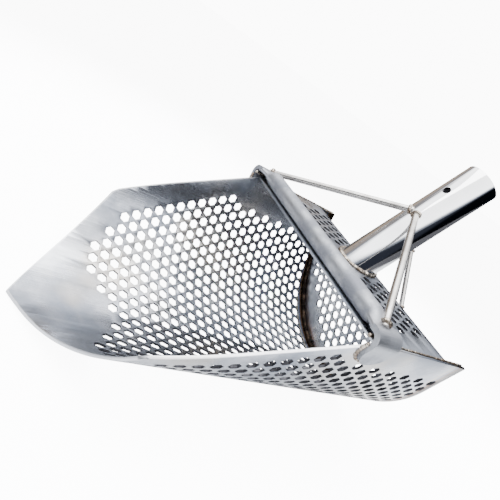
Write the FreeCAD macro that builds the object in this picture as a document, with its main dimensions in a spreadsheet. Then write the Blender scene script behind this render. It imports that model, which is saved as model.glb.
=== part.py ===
"""Sand scoop for beach metal detecting: a rolled, perforated basket with a handle socket.

The scoop stands on its keel. +Z is up, the digging nose points along -X and the handle socket
leans back towards +X. The origin is on the floor under the middle of the overall length, and
the XZ plane is the plane of symmetry. "Left" is the -Y side, as the user sees it from behind.
"""
import FreeCAD, Part
import math
import os

import Sketcher
from FreeCAD import Placement, Rotation, Vector

doc = FreeCAD.newDocument("sand_scoop")

# ---------------------------------------------------------------------------------------------
# Driving dimensions, millimetres and degrees
# ---------------------------------------------------------------------------------------------
DIMENSIONS = {
    "gauge": 2,                 # sheet thickness
    "nose_x": -149,             # tip of the nose
    "keel_rear_x": 137,         # rear end of the shell on the keel
    "rim_rear_x": 127,          # rear end of the rim
    "rim_front_x": 25,          # where the rim starts to fall towards the nose
    "rim_z": 113,               # height of the rim and of the roof
    "corner_x": -94.4,          # front corners of the cutting edge
    "corner_y": 84.1,
    "corner_z": 53.2,
    "nose_bow_x": -121.7,       # a point half way along the bowed cutting edge
    "nose_bow_y": 48.5,
    "crease_angle": 9,          # half of the shallow V along the keel
    "crease_flat": 16,          # flat strip beside the keel
    "roll_radius": 94,          # inside radius of the rolled sides
    "flank_angle": 77,          # slope of the straight upper sides
    "flank_end": 185,           # developed half width of the untrimmed sheet
    "hole_flats": 7,            # hexagonal holes, across flats
    "hole_pitch": 10,
    "first_column_x": -79,      # a hole column that crosses the keel
    "first_column_half": 90,    # from the field's centre line to that column's outermost hole
    "field_shift": 5,           # how far the hole field's centre line lies to the left of the keel
    "roof_front_x": 20,
    "wall_setback": 1.5,        # rear wall ahead of the shell's rear edge
    "bend_radius": 30,          # roof to rear wall, outside
    "wall_row_z": 65,           # a row of holes on the rear wall with none on the centre line
    "roof_field_half": 81,      # half width of the rows of holes on the roof and the bend
    "wall_field_slope": 1.75,   # the rows on the rear wall get shorter towards the keel
    "wall_field_foot": 12,
    "roof_first_hole_x": 42,
    "bar_radius": 7,
    "bar_wall": 2,
    "bar_x": 26,
    "bar_half": 84,             # round length of the cross bar, each side
    "lug_start": 96,            # where the flattened end of the bar begins
    "lug_width": 22,
    "lug_gauge": 4,
    "lug_bend": 6,              # centre line radius over the rim
    "lug_foot_z": 96,
    "socket_x": 84,             # where the socket's axis meets the roof
    "socket_angle": 65,
    "socket_length": 118.5,
    "socket_radius": 16,
    "socket_wall": 2,           # where the tube is reamed for the handle
    "socket_root_wall": 3,      # below the shoulder that stops the handle
    "socket_bore_depth": 110,   # from the mouth to that shoulder
    "bolt_radius": 3.25,
    "bolt_along": 88.5,         # retaining bolt, along the axis from the roof
    "strut_radius": 2.75,
    "strut_foot_y": 95,
    "strut_along": 58,          # top of the struts, along the socket's axis
    "strut_around": 13,         # and round it from the front
    "brace_radius": 2,
    "brace_foot_x": 114,
    "brace_foot_y": 40,
    "brace_along": 43,
    "brace_around": 145,
    "seam_bead": 3.5,
    "bead_radius": 1.6,
    "lug_bead_radius": 2.5,
    "collar": 2.2,              # how far a weld collar stands out from its rod
    "socket_collar": 3.5,
}

sheet = doc.addObject("Spreadsheet::Sheet", "dims")
for row, (name, value) in enumerate(DIMENSIONS.items(), start=1):
    sheet.set(f"A{row}", name)
    sheet.set(f"B{row}", str(value))
    sheet.setAlias(f"B{row}", name)
doc.recompute()


def dim(name):
    """Read a driving dimension from the spreadsheet."""
    return float(sheet.get(name))


SIDES = {"left": -1, "right": 1}
FAR = 400.0                     # longer than any blank, for trimming tools
PLANES = {"XY": "XY_Plane", "XZ": "XZ_Plane", "YZ": "YZ_Plane"}


# ---------------------------------------------------------------------------------------------
# Document helpers
# ---------------------------------------------------------------------------------------------
def new_body(name):
    body = doc.addObject("PartDesign::Body", name)
    body.Label = name
    return body


def new_sketch(body, name, plane, offset=0.0):
    """A sketch on one of the body's own origin planes, moved along the plane's normal."""
    sketch = body.newObject("Sketcher::SketchObject", name)
    origin_plane = next(f for f in body.Origin.OriginFeatures if f.Role == PLANES[plane])
    sketch.AttachmentSupport = [(origin_plane, "")]
    sketch.MapMode = "FlatFace"
    sketch.AttachmentOffset = Placement(Vector(0, 0, offset), Rotation())
    return sketch


def draw(sketch, edges):
    """Put lines and arcs, given in the sketch's own plane, into a sketch and pin them."""
    for edge in edges:
        index = sketch.addGeometry(edge, False)
        sketch.addConstraint(Sketcher.Constraint("Block", index))


def polyline(points):
    ends = points[1:] + points[:1]
    return [Part.LineSegment(Vector(*a, 0), Vector(*b, 0)) for a, b in zip(points, ends)]


def line(a, b):
    return Part.LineSegment(Vector(*a, 0), Vector(*b, 0))


def arc(a, middle, b):
    return Part.Arc(Vector(*a, 0), Vector(*middle, 0), Vector(*b, 0))


def pad(body, sketch, length, symmetric=False):
    """Pad a sketch by a length given as an expression of the sheet."""
    feature = body.newObject("PartDesign::Pad", f"{body.Name}_pad")
    feature.Profile = sketch
    feature.Midplane = symmetric
    feature.setExpression("Length", length)
    return feature


def trim(body, sketch, name):
    """Cut a sketch through the body, both ways."""
    feature = body.newObject("PartDesign::Pocket", name)
    feature.Profile = sketch
    feature.Midplane = True
    feature.Length = 2 * FAR
    return feature


def boolean(kind, name, base, tool):
    feature = doc.addObject(f"Part::{kind}", name)
    feature.Label = name
    feature.Base = base
    feature.Tool = tool
    return feature


def cylinder(name, radius, length, start, direction):
    """A solid rod; radius and length are expressions of the sheet or plain numbers."""
    feature = doc.addObject("Part::Cylinder", name)
    feature.Label = name
    for prop, value in (("Radius", radius), ("Height", length)):
        if isinstance(value, str):
            feature.setExpression(prop, value)
        else:
            setattr(feature, prop, value)
    feature.Placement = Placement(start, Rotation(Vector(0, 0, 1), direction))
    return feature


def sphere(name, radius, centre):
    feature = doc.addObject("Part::Sphere", name)
    feature.setExpression("Radius", radius)
    feature.Placement = Placement(centre, Rotation())
    return feature


# ---------------------------------------------------------------------------------------------
# Cross-section of the rolled sheet
# ---------------------------------------------------------------------------------------------
GAUGE = dim("gauge")
CREASE = math.radians(dim("crease_angle"))
FLANK = math.radians(dim("flank_angle"))
KEEL_Z = GAUGE / math.cos(CREASE)
ROLL_START = dim("crease_flat")
ROLL_END = ROLL_START + dim("roll_radius") * (FLANK - CREASE)
ROLL_CENTRE = (
    ROLL_START * math.cos(CREASE) - dim("roll_radius") * math.sin(CREASE),
    KEEL_Z + ROLL_START * math.sin(CREASE) + dim("roll_radius") * math.cos(CREASE),
)


def section(developed, inset=0.0):
    """Point (y, z) and slope of the inner surface at a developed distance from the keel.

    A positive inset moves the point into the basket, a negative one through the sheet.
    """
    roll = dim("roll_radius")
    slope = min(max(CREASE, CREASE + (developed - ROLL_START) / roll), FLANK)
    flat = min(developed, ROLL_START) - ROLL_START
    flank = max(developed, ROLL_END) - ROLL_END
    along = flat + flank
    y = ROLL_CENTRE[0] + (roll - inset) * math.sin(slope) + along * math.cos(slope)
    z = ROLL_CENTRE[1] - (roll - inset) * math.cos(slope) + along * math.sin(slope)
    return y, z, slope


def half_section(inset, side, top):
    """Flat, roll and flank of one half, from the keel outwards, as sketch edges."""
    keel = (0.0, KEEL_Z + inset / math.cos(CREASE))
    points = [section(d, inset)[:2] for d in (ROLL_START, (ROLL_START + ROLL_END) / 2, ROLL_END, top)]
    flat_end, roll_middle, roll_end, flank_top = [(side * y, z) for y, z in points]
    return [line(keel, flat_end), arc(flat_end, roll_middle, roll_end), line(roll_end, flank_top)]


def edge_end(edge):
    return edge.EndPoint.x, edge.EndPoint.y


def band(inner_inset, outer_inset, top):
    """Closed U between two insets of the rolled sheet."""
    edges = []
    for inset in (inner_inset, outer_inset):
        edges += half_section(inset, 1, top) + half_section(inset, -1, top)
    for half in (2, 5):
        edges.append(line(edge_end(edges[half]), edge_end(edges[half + 6])))
    return edges


def hexagon_tool(centre, normal, along):
    """Hexagonal prism through the sheet, with two flats square to the direction 'along'."""
    corner_radius = dim("hole_flats") / math.sqrt(3)
    reach = 2 * GAUGE
    across = normal.cross(along)
    corners = []
    for k in range(6):
        angle = math.radians(30 + 60 * k)
        corners.append(centre + (along * math.cos(angle) + across * math.sin(angle)) * corner_radius)
    foot = [corner - normal * reach for corner in corners]
    face = Part.Face(Part.makePolygon(foot + foot[:1]))
    return face.extrude(normal * (2 * reach))


def hole_tools(name, tools):
    feature = doc.addObject("Part::Feature", name)
    feature.Shape = Part.makeCompound(tools)
    feature.Placement = Placement()
    return feature


# ---------------------------------------------------------------------------------------------
# Basket shell: one perforated sheet, creased on the keel and rolled up at the sides
# ---------------------------------------------------------------------------------------------
def side_outline():
    """Everything above the rim and behind the rear edge, in the XZ plane."""
    return [
        (-FAR, dim("corner_z") - (dim("corner_x") + FAR) * rim_slope()),
        (dim("rim_front_x"), dim("rim_z")),
        (dim("rim_rear_x"), dim("rim_z")),
        (dim("keel_rear_x"), 0.0),
        (dim("keel_rear_x"), -FAR),
        (FAR, -FAR),
        (FAR, FAR),
        (-FAR, FAR),
    ]


def rim_slope():
    return (dim("rim_z") - dim("corner_z")) / (dim("rim_front_x") - dim("corner_x"))


def nose_outline():
    """Everything ahead of the bowed cutting edges, in the XY plane."""
    nose = (dim("nose_x"), 0.0)
    edges = []
    for side in (1, -1):
        bow = (dim("nose_bow_x"), side * dim("nose_bow_y"))
        corner = (dim("corner_x"), side * dim("corner_y"))
        # the cut runs on past the corner, through the thickness of the sheet
        run_on = 2 * GAUGE / math.dist(bow, corner)
        past = (corner[0] + (corner[0] - bow[0]) * run_on, corner[1] + (corner[1] - bow[1]) * run_on)
        edges.append(arc(nose, bow, corner))
        edges.append(line(corner, past))
        edges.append(line(past, (past[0], side * FAR)))
        edges.append(line((past[0], side * FAR), (-FAR, side * FAR)))
    edges.append(line((-FAR, FAR), (-FAR, -FAR)))
    return edges


def shell_columns():
    """Hole columns (x, developed distances from the field's centre line) of the staggered pattern.

    The field starts as two small patches beside the centre line, widens with the rim as far as
    the tenth column, and runs straight from there to the rear.
    """
    half_pitch = dim("hole_pitch") / 2
    widest = dim("first_column_half")
    for column in range(-2, 24):
        x = dim("first_column_x") + column * dim("hole_pitch") * math.cos(math.radians(30))
        low, high = 0.0, widest + column * half_pitch
        if column == -2:
            low, high = widest - 10 * half_pitch, widest - 6 * half_pitch
        if column == -1:
            low, high = widest - 13 * half_pitch, widest - 3 * half_pitch
        if column == 0:
            low = 2 * half_pitch
        if column > 10:
            high = widest + 9 * half_pitch
        first = 0.0 if column % 2 == 0 else half_pitch
        count = int((high - first) / (2 * half_pitch)) + 1
        distances = [first + 2 * half_pitch * k for k in range(count)]
        yield x, [d for d in distances if low <= d <= high]


def shell_hole_tools():
    shift = dim("field_shift")
    tools = []
    for x, distances in shell_columns():
        places = {d - shift for d in distances} | {-d - shift for d in distances}
        for place in sorted(places):
            side = -1 if place < 0 else 1
            y, z, slope = section(abs(place))
            slope_here = slope if place else 0.0
            normal = Vector(0, -side * math.sin(slope_here), math.cos(slope_here))
            along = Vector(0, side * math.cos(slope_here), math.sin(slope_here))
            tools.append(hexagon_tool(Vector(x, side * y, z), normal, along))
    return tools


shell_blank = new_body("shell_blank")
shell_sketch = new_sketch(shell_blank, "shell_section", "YZ", dim("nose_x") - GAUGE)
draw(shell_sketch, band(0.0, -GAUGE, dim("flank_end")))
pad(shell_blank, shell_sketch, "dims.keel_rear_x - dims.nose_x + dims.gauge")
side_sketch = new_sketch(shell_blank, "shell_side", "XZ")
draw(side_sketch, polyline(side_outline()))
trim(shell_blank, side_sketch, "rim_cut")
nose_sketch = new_sketch(shell_blank, "shell_nose", "XY")
draw(nose_sketch, nose_outline())
trim(shell_blank, nose_sketch, "nose_cut")
shell_holes = hole_tools("shell_holes", shell_hole_tools())
basket_shell = boolean("Cut", "basket_shell", shell_blank, shell_holes)


# ---------------------------------------------------------------------------------------------
# Rear panel: roof and rear wall bent from one perforated sheet, fitted inside the shell
# ---------------------------------------------------------------------------------------------
WALL_LEAN = math.atan2(dim("keel_rear_x") - dim("rim_rear_x"), dim("rim_z"))
WALL_FOOT_X = dim("keel_rear_x") - dim("wall_setback")
BEND_TURN = math.radians(90) - WALL_LEAN
BEND_CENTRE = (
    WALL_FOOT_X - (dim("rim_z") - dim("bend_radius")) * math.tan(WALL_LEAN)
    - dim("bend_radius") / math.cos(WALL_LEAN),
    dim("rim_z") - dim("bend_radius"),
)


def panel_profile(depth):
    """Front of the roof, bend, and foot of the wall, a depth under the outer surface."""
    radius = dim("bend_radius") - depth
    bend = []
    for turn in (0.0, BEND_TURN / 2, BEND_TURN):
        bend.append((BEND_CENTRE[0] + radius * math.sin(turn), BEND_CENTRE[1] + radius * math.cos(turn)))
    fall = bend[-1][1] + GAUGE
    foot = (bend[-1][0] + fall * math.tan(WALL_LEAN), -GAUGE)
    front = (dim("roof_front_x"), dim("rim_z") - depth)
    return front, bend, foot


def panel_edges():
    edges = []
    ends = []
    for depth in (0.0, GAUGE):
        front, bend, foot = panel_profile(depth)
        edges += [line(front, bend[0]), arc(*bend), line(bend[2], foot)]
        ends.append((front, foot))
    edges.append(line(ends[0][0], ends[1][0]))
    edges.append(line(ends[0][1], ends[1][1]))
    return edges


def panel_rows():
    """Hole rows of the rear panel: centre on the outer surface, outward normal, half width."""
    spacing = dim("hole_pitch") * math.cos(math.radians(30))
    bend_length = dim("bend_radius") * BEND_TURN
    wall_start = panel_profile(0.0)[1][2]
    first = (wall_start[1] - dim("wall_row_z")) / math.cos(WALL_LEAN)
    for row in range(-14, 7):
        run = first + row * spacing
        if run > 0:
            z = wall_start[1] - run * math.cos(WALL_LEAN)
            x = wall_start[0] + run * math.sin(WALL_LEAN)
            turn = BEND_TURN
            half = min(dim("roof_field_half"), dim("wall_field_slope") * (z - dim("wall_field_foot")))
        else:
            turn = max(BEND_TURN + run / dim("bend_radius"), 0.0)
            x = BEND_CENTRE[0] + dim("bend_radius") * math.sin(turn) + min(run + bend_length, 0.0)
            z = BEND_CENTRE[1] + dim("bend_radius") * math.cos(turn)
            half = dim("roof_field_half")
        if x > dim("roof_first_hole_x"):
            yield row, Vector(x, 0, z), Vector(math.sin(turn), 0, math.cos(turn)), half


def panel_hole_tools():
    """Holes of the rear panel, leaving the sheet whole under the socket."""
    tools = []
    pitch = dim("hole_pitch")
    clear = dim("socket_radius") + pitch
    for row, centre, normal, half in panel_rows():
        shift = pitch / 2 if row % 2 == 0 else 0.0
        for k in range(-9, 10):
            y = k * pitch + shift
            under_socket = math.hypot(centre.x - dim("socket_x"), y) < clear
            if abs(y) <= half and not under_socket:
                tools.append(hexagon_tool(centre + Vector(0, y, 0), normal, Vector(0, 1, 0)))
    return tools


panel_blank = new_body("panel_blank")
panel_sketch = new_sketch(panel_blank, "panel_side", "XZ")
draw(panel_sketch, panel_edges())
pad(panel_blank, panel_sketch, "2 * dims.flank_end", symmetric=True)

inside = new_body("basket_inside")
inside_sketch = new_sketch(inside, "inside_section", "YZ", -FAR)
inside_edges = half_section(0.0, 1, dim("flank_end")) + half_section(0.0, -1, dim("flank_end"))
draw(inside_sketch, inside_edges + [line(edge_end(inside_edges[2]), edge_end(inside_edges[5]))])
pad(inside, inside_sketch, "4 * dims.flank_end")

panel_trimmed = boolean("Common", "panel_trimmed", panel_blank, inside)
panel_holes = hole_tools("panel_holes", panel_hole_tools())
rear_panel = boolean("Cut", "rear_panel", panel_trimmed, panel_holes)


# ---------------------------------------------------------------------------------------------
# Cross bar: a round tube over the rim, its ends flattened and folded down the sides
# ---------------------------------------------------------------------------------------------
BAR_Z = dim("rim_z") + dim("bar_radius")

cross_bar = new_body("cross_bar")
bar_sketch = new_sketch(cross_bar, "bar_section", "XZ")
for index, radius in enumerate(("dims.bar_radius", "dims.bar_radius - dims.bar_wall")):
    bar_sketch.addGeometry(Part.Circle(Vector(dim("bar_x"), BAR_Z, 0), Vector(0, 0, 1), 5 - index), False)
    bar_sketch.addConstraint(Sketcher.Constraint("DistanceX", -1, 1, index, 3, dim("bar_x")))
    bar_sketch.addConstraint(Sketcher.Constraint("DistanceY", -1, 1, index, 3, BAR_Z))
    bar_sketch.addConstraint(Sketcher.Constraint("Radius", index, 5 - index))
    bar_sketch.setExpression(f"Constraints[{3 * index}]", "dims.bar_x")
    bar_sketch.setExpression(f"Constraints[{3 * index + 1}]", "dims.rim_z + dims.bar_radius")
    bar_sketch.setExpression(f"Constraints[{3 * index + 2}]", radius)
pad(cross_bar, bar_sketch, "2 * dims.bar_half", symmetric=True)


def slot_edges(width, height):
    """Flattened tube section centred on the bar, in the XZ plane."""
    half = height / 2
    left = dim("bar_x") - width / 2 + half
    right = dim("bar_x") + width / 2 - half
    return [
        line((left, BAR_Z + half), (right, BAR_Z + half)),
        arc((right, BAR_Z + half), (right + half, BAR_Z), (right, BAR_Z - half)),
        line((right, BAR_Z - half), (left, BAR_Z - half)),
        arc((left, BAR_Z - half), (left - half, BAR_Z), (left, BAR_Z + half)),
    ]


def lug_profile(side):
    """Closed strip in the YZ plane: out over the rim, round the bend and down the flank."""
    half = dim("lug_gauge") / 2
    radius = dim("lug_bend")
    turn = math.pi - FLANK
    rim_y = section(ROLL_END, -GAUGE - half)[0]
    rim_z = section(ROLL_END, -GAUGE - half)[1]
    corner_y = rim_y + (BAR_Z - rim_z) / math.tan(FLANK)
    bend_y = corner_y - radius * math.tan(turn / 2)
    rows = []
    for offset in (half, -half):
        arc_points = []
        for angle in (0.0, turn / 2, turn):
            y = bend_y + (radius + offset) * math.sin(angle)
            z = BAR_Z - radius + (radius + offset) * math.cos(angle)
            arc_points.append((side * y, z))
        drop = arc_points[2][1] - dim("lug_foot_z")
        foot = (arc_points[2][0] - side * drop / math.tan(FLANK), dim("lug_foot_z"))
        rows.append(((side * dim("lug_start"), BAR_Z + offset), arc_points, foot))
    edges = []
    for start, arc_points, foot in rows:
        edges += [line(start, arc_points[0]), arc(*arc_points), line(arc_points[2], foot)]
    edges.append(line(rows[0][0], rows[1][0]))
    edges.append(line(rows[0][2], rows[1][2]))
    return edges


def bar_lug(name, side):
    """Tube end that flares from round to flat, then folds down the outside of the basket."""
    transition = new_body(f"{name}_flare")
    # the XZ plane's normal points along -Y
    round_sketch = new_sketch(transition, f"{name}_round", "XZ", -side * dim("bar_half"))
    circle = Part.Circle(Vector(dim("bar_x"), BAR_Z, 0), Vector(0, 0, 1), dim("bar_radius"))
    round_sketch.addGeometry(circle, False)
    flat_sketch = new_sketch(transition, f"{name}_flat", "XZ", -side * dim("lug_start"))
    draw(flat_sketch, slot_edges(dim("lug_width"), dim("lug_gauge")))
    loft = transition.newObject("PartDesign::AdditiveLoft", f"{name}_loft")
    loft.Profile = round_sketch
    loft.Sections = [flat_sketch]

    strip = new_body(f"{name}_strip")
    strip_sketch = new_sketch(strip, f"{name}_profile", "YZ", dim("bar_x"))
    draw(strip_sketch, lug_profile(side))
    pad(strip, strip_sketch, "dims.lug_width", symmetric=True)
    foot_sketch = new_sketch(strip, f"{name}_foot", "XZ")
    radius = dim("lug_width") / 2
    level = dim("lug_foot_z") + radius
    left, right = dim("bar_x") - radius, dim("bar_x") + radius
    draw(foot_sketch, [
        arc((left, level), (dim("bar_x"), level - radius), (right, level)),
        line((right, level), (right + GAUGE, level)),
        line((right + GAUGE, level), (right + GAUGE, level - 2 * radius)),
        line((right + GAUGE, level - 2 * radius), (left - GAUGE, level - 2 * radius)),
        line((left - GAUGE, level - 2 * radius), (left - GAUGE, level)),
        line((left - GAUGE, level), (left, level)),
    ])
    trim(strip, foot_sketch, f"{name}_rounding")
    return boolean("Fuse", name, transition, strip)


# ---------------------------------------------------------------------------------------------
# Handle socket: a tube that leans back from the roof, drilled for a retaining bolt
# ---------------------------------------------------------------------------------------------
LEAN = math.radians(dim("socket_angle"))
SOCKET_AXIS = Vector(math.cos(LEAN), 0, math.sin(LEAN))
SOCKET_FRONT = Vector(-math.sin(LEAN), 0, math.cos(LEAN))
SOCKET_BASE = Vector(dim("socket_x"), 0, dim("rim_z"))
SOCKET_ROOT = 30.0              # how far the blank runs below the roof before it is mitred


def on_socket(along, around, radius):
    """Point at a distance along the axis, turned round it from the front towards the right."""
    angle = math.radians(around)
    radial = SOCKET_FRONT * math.cos(angle) + Vector(0, 1, 0) * math.sin(angle)
    return SOCKET_BASE + SOCKET_AXIS * along + radial * radius


def socket_blank(name, radius):
    start = SOCKET_BASE - SOCKET_AXIS * SOCKET_ROOT
    return cylinder(name, radius, f"dims.socket_length + {SOCKET_ROOT}", start, SOCKET_AXIS)


def floor_box(name, top):
    """A large block under a level, used to mitre what stands on it."""
    feature = doc.addObject("Part::Box", name)
    feature.Length = 2 * FAR
    feature.Width = 2 * FAR
    feature.Height = FAR
    feature.Placement = Placement(Vector(-FAR, -FAR, top - FAR), Rotation())
    return feature


socket_outer = socket_blank("socket_outer", "dims.socket_radius")
socket_inner = socket_blank("socket_inner", "dims.socket_radius - dims.socket_root_wall")
socket_tube = boolean("Cut", "socket_tube", socket_outer, socket_inner)
shoulder = on_socket(dim("socket_length") - dim("socket_bore_depth"), 0, 0.0)
socket_bore = cylinder("socket_bore", "dims.socket_radius - dims.socket_wall",
                       "dims.socket_bore_depth", shoulder, SOCKET_AXIS)
socket_reamed = boolean("Cut", "socket_reamed", socket_tube, socket_bore)
roof_box = floor_box("under_roof", dim("rim_z"))
socket_mitred = boolean("Cut", "socket_mitred", socket_reamed, roof_box)
bolt_start = on_socket(dim("bolt_along"), 180, 2 * dim("socket_radius"))
bolt_drill = cylinder("bolt_drill", "dims.bolt_radius", "4 * dims.socket_radius", bolt_start, SOCKET_FRONT)
handle_socket = boolean("Cut", "handle_socket", socket_mitred, bolt_drill)


# ---------------------------------------------------------------------------------------------
# Struts from the cross bar and braces from the roof, all rods welded to the socket
# ---------------------------------------------------------------------------------------------
def coped_rod(name, radius, foot, head, *tools):
    """A rod between two points, run a little past both and cut back to what it meets."""
    direction = (head - foot).normalize()
    start = foot - direction * GAUGE
    length = (head - foot).Length + 2 * GAUGE
    rod = cylinder(f"{name}_blank", radius, length, start, direction)
    for number, tool in enumerate(tools):
        last = number == len(tools) - 1
        rod = boolean("Cut", name if last else f"{name}_cope_{number}", rod, tool)
    return rod


def collar(name, rod_blank, radius, centre, tool):
    """A weld round the end of a rod: a ball less the rod and less what the rod meets."""
    ball = sphere(f"{name}_ball", f"{radius} + dims.collar", centre)
    ring = boolean("Cut", f"{name}_ring", ball, rod_blank)
    return boolean("Cut", name, ring, tool)


panel_envelope = new_body("panel_envelope")
envelope_sketch = new_sketch(panel_envelope, "envelope_side", "XZ")
roof_front, roof_bend, wall_foot = panel_profile(0.0)
draw(envelope_sketch, [
    line(roof_front, roof_bend[0]),
    arc(*roof_bend),
    line(roof_bend[2], wall_foot),
    line(wall_foot, (roof_front[0], wall_foot[1])),
    line((roof_front[0], wall_foot[1]), roof_front),
])
pad(panel_envelope, envelope_sketch, "dims.flank_end", symmetric=True)

LUG_TOP = BAR_Z + dim("lug_gauge") / 2
lug_box = floor_box("under_lug_top", LUG_TOP)
BRACE_FOOT_Z = BEND_CENTRE[1] + math.sqrt(
    dim("bend_radius") ** 2 - (dim("brace_foot_x") - BEND_CENTRE[0]) ** 2
)

nodes = [basket_shell, rear_panel, cross_bar, handle_socket]
for side_name, side in SIDES.items():
    nodes.append(bar_lug(f"bar_lug_{side_name}", side))

    foot = Vector(dim("bar_x"), side * dim("strut_foot_y"), LUG_TOP)
    head = on_socket(dim("strut_along"), side * dim("strut_around"), dim("socket_radius"))
    strut = coped_rod(f"strut_{side_name}", "dims.strut_radius", foot, head, lug_box, socket_outer)
    blank = doc.getObject(f"strut_{side_name}_blank")
    foot_weld = collar(f"strut_foot_weld_{side_name}", blank, "dims.strut_radius", foot, lug_box)
    head_weld = collar(f"strut_head_weld_{side_name}", blank, "dims.strut_radius", head, socket_outer)
    nodes += [strut, foot_weld, head_weld]

    foot = Vector(dim("brace_foot_x"), side * dim("brace_foot_y"), BRACE_FOOT_Z)
    head = on_socket(dim("brace_along"), side * dim("brace_around"), dim("socket_radius"))
    brace = coped_rod(f"rear_brace_{side_name}", "dims.brace_radius", foot, head, panel_envelope, socket_outer)
    blank = doc.getObject(f"rear_brace_{side_name}_blank")
    foot_weld = collar(f"brace_foot_weld_{side_name}", blank, "dims.brace_radius", foot, panel_envelope)
    head_weld = collar(f"brace_head_weld_{side_name}", blank, "dims.brace_radius", head, socket_outer)
    nodes += [brace, foot_weld, head_weld]


# ---------------------------------------------------------------------------------------------
# Weld beads along the sheets
# ---------------------------------------------------------------------------------------------
def seam_outline():
    """What is kept of the U band is a strip just ahead of the rear wall; this is the rest."""
    _, bend, foot = panel_profile(GAUGE)
    bead = dim("seam_bead")
    keep = [(bend[2][0], bend[2][1]), (foot[0], foot[1])]
    front = [(keep[1][0] - bead, keep[1][1]), (keep[0][0] - bead, keep[0][1])]
    return polyline([(-FAR, -FAR), (front[0][0], -FAR), front[0], front[1], keep[0], keep[1],
                     (keep[1][0], -FAR), (FAR, -FAR), (FAR, FAR), (-FAR, FAR)])


seam = new_body("rear_seam_weld")
seam_sketch = new_sketch(seam, "seam_section", "YZ")
draw(seam_sketch, band(dim("seam_bead"), 0.0, dim("flank_end")))
pad(seam, seam_sketch, "dims.keel_rear_x")
seam_side = new_sketch(seam, "seam_side", "XZ")
draw(seam_side, seam_outline())
trim(seam, seam_side, "seam_cut")
nodes.append(seam)

rim_developed = ROLL_END + (dim("rim_z") - section(ROLL_END)[1]) / math.sin(FLANK)
RIM_Y = section(rim_developed)[0]
for side_name, side in SIDES.items():
    start = Vector(dim("bar_x") + dim("lug_width") / 2, side * RIM_Y, dim("rim_z") + dim("bead_radius"))
    length = "dims.rim_rear_x - dims.bar_x - dims.lug_width / 2 - 2 * dims.gauge"
    nodes.append(cylinder(f"rim_weld_{side_name}", "dims.bead_radius", length, start, Vector(1, 0, 0)))
    start = Vector(dim("bar_x") - dim("lug_width") / 2, side * (RIM_Y - GAUGE),
                   dim("rim_z") + dim("lug_bead_radius"))
    nodes.append(cylinder(f"lug_weld_{side_name}", "dims.lug_bead_radius", "dims.lug_width", start,
                          Vector(1, 0, 0)))

start = Vector(dim("bar_x") + dim("bar_radius"), -dim("bar_half"), dim("rim_z") + dim("bead_radius"))
bar_bead = cylinder("bar_bead", "dims.bead_radius", "2 * dims.bar_half", start, Vector(0, 1, 0))
bar_solid = cylinder("bar_solid", "dims.bar_radius", "4 * dims.bar_half",
                     Vector(dim("bar_x"), -2 * dim("bar_half"), BAR_Z), Vector(0, 1, 0))
nodes.append(boolean("Cut", "bar_weld", bar_bead, bar_solid))

socket_ring = socket_blank("socket_ring", "dims.socket_radius + dims.socket_collar")
ring_top = floor_box("ring_slab", dim("rim_z") + dim("socket_collar"))
ring_slab = boolean("Common", "ring_below", socket_ring, ring_top)
ring_mitred = boolean("Cut", "ring_mitred", ring_slab, roof_box)
nodes.append(boolean("Cut", "socket_weld", ring_mitred, socket_outer))


# ---------------------------------------------------------------------------------------------
# Recompute, verify and write one STEP file per sub-part
# ---------------------------------------------------------------------------------------------
doc.recompute()
for item in doc.Objects:
    if "Invalid" in item.State or "Error" in item.State:
        raise RuntimeError(f"{item.Label} failed: {item.State}")
for node in nodes:
    if node.Shape.isNull() or not node.Shape.isValid() or len(node.Shape.Solids) != 1:
        raise RuntimeError(f"{node.Label} is not one valid solid ({len(node.Shape.Solids)})")

os.makedirs("parts", exist_ok=True)
for node in nodes:
    node.Shape.exportStep(f"parts/{node.Label}.step")
    box = node.Shape.BoundBox
    print(f"{node.Label:26s} {node.Shape.Volume:10.1f} mm3  x {box.XMin:7.1f} {box.XMax:7.1f}"
          f"  y {box.YMin:7.1f} {box.YMax:7.1f}  z {box.ZMin:6.1f} {box.ZMax:6.1f}")
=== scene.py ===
# %% [markdown]
# # A welded sand scoop
#
# This scoop digs and sieves wet sand at the end of a long handle. It is made the way a small
# workshop makes it: two flat blanks are cut with their sieve holes, one is rolled into the open
# basket, the other is bent into the roof and rear wall, and a bar, a socket and some rods are
# welded on. The lesson follows the same order, so each piece is cut flat and bent afterwards.
# The CAD model is loaded first, because every piece takes its place and size from it.

# %% Load the frame
import math
import random

import bpy
from mathutils import Matrix, Vector
from mathutils.kdtree import KDTree


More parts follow.
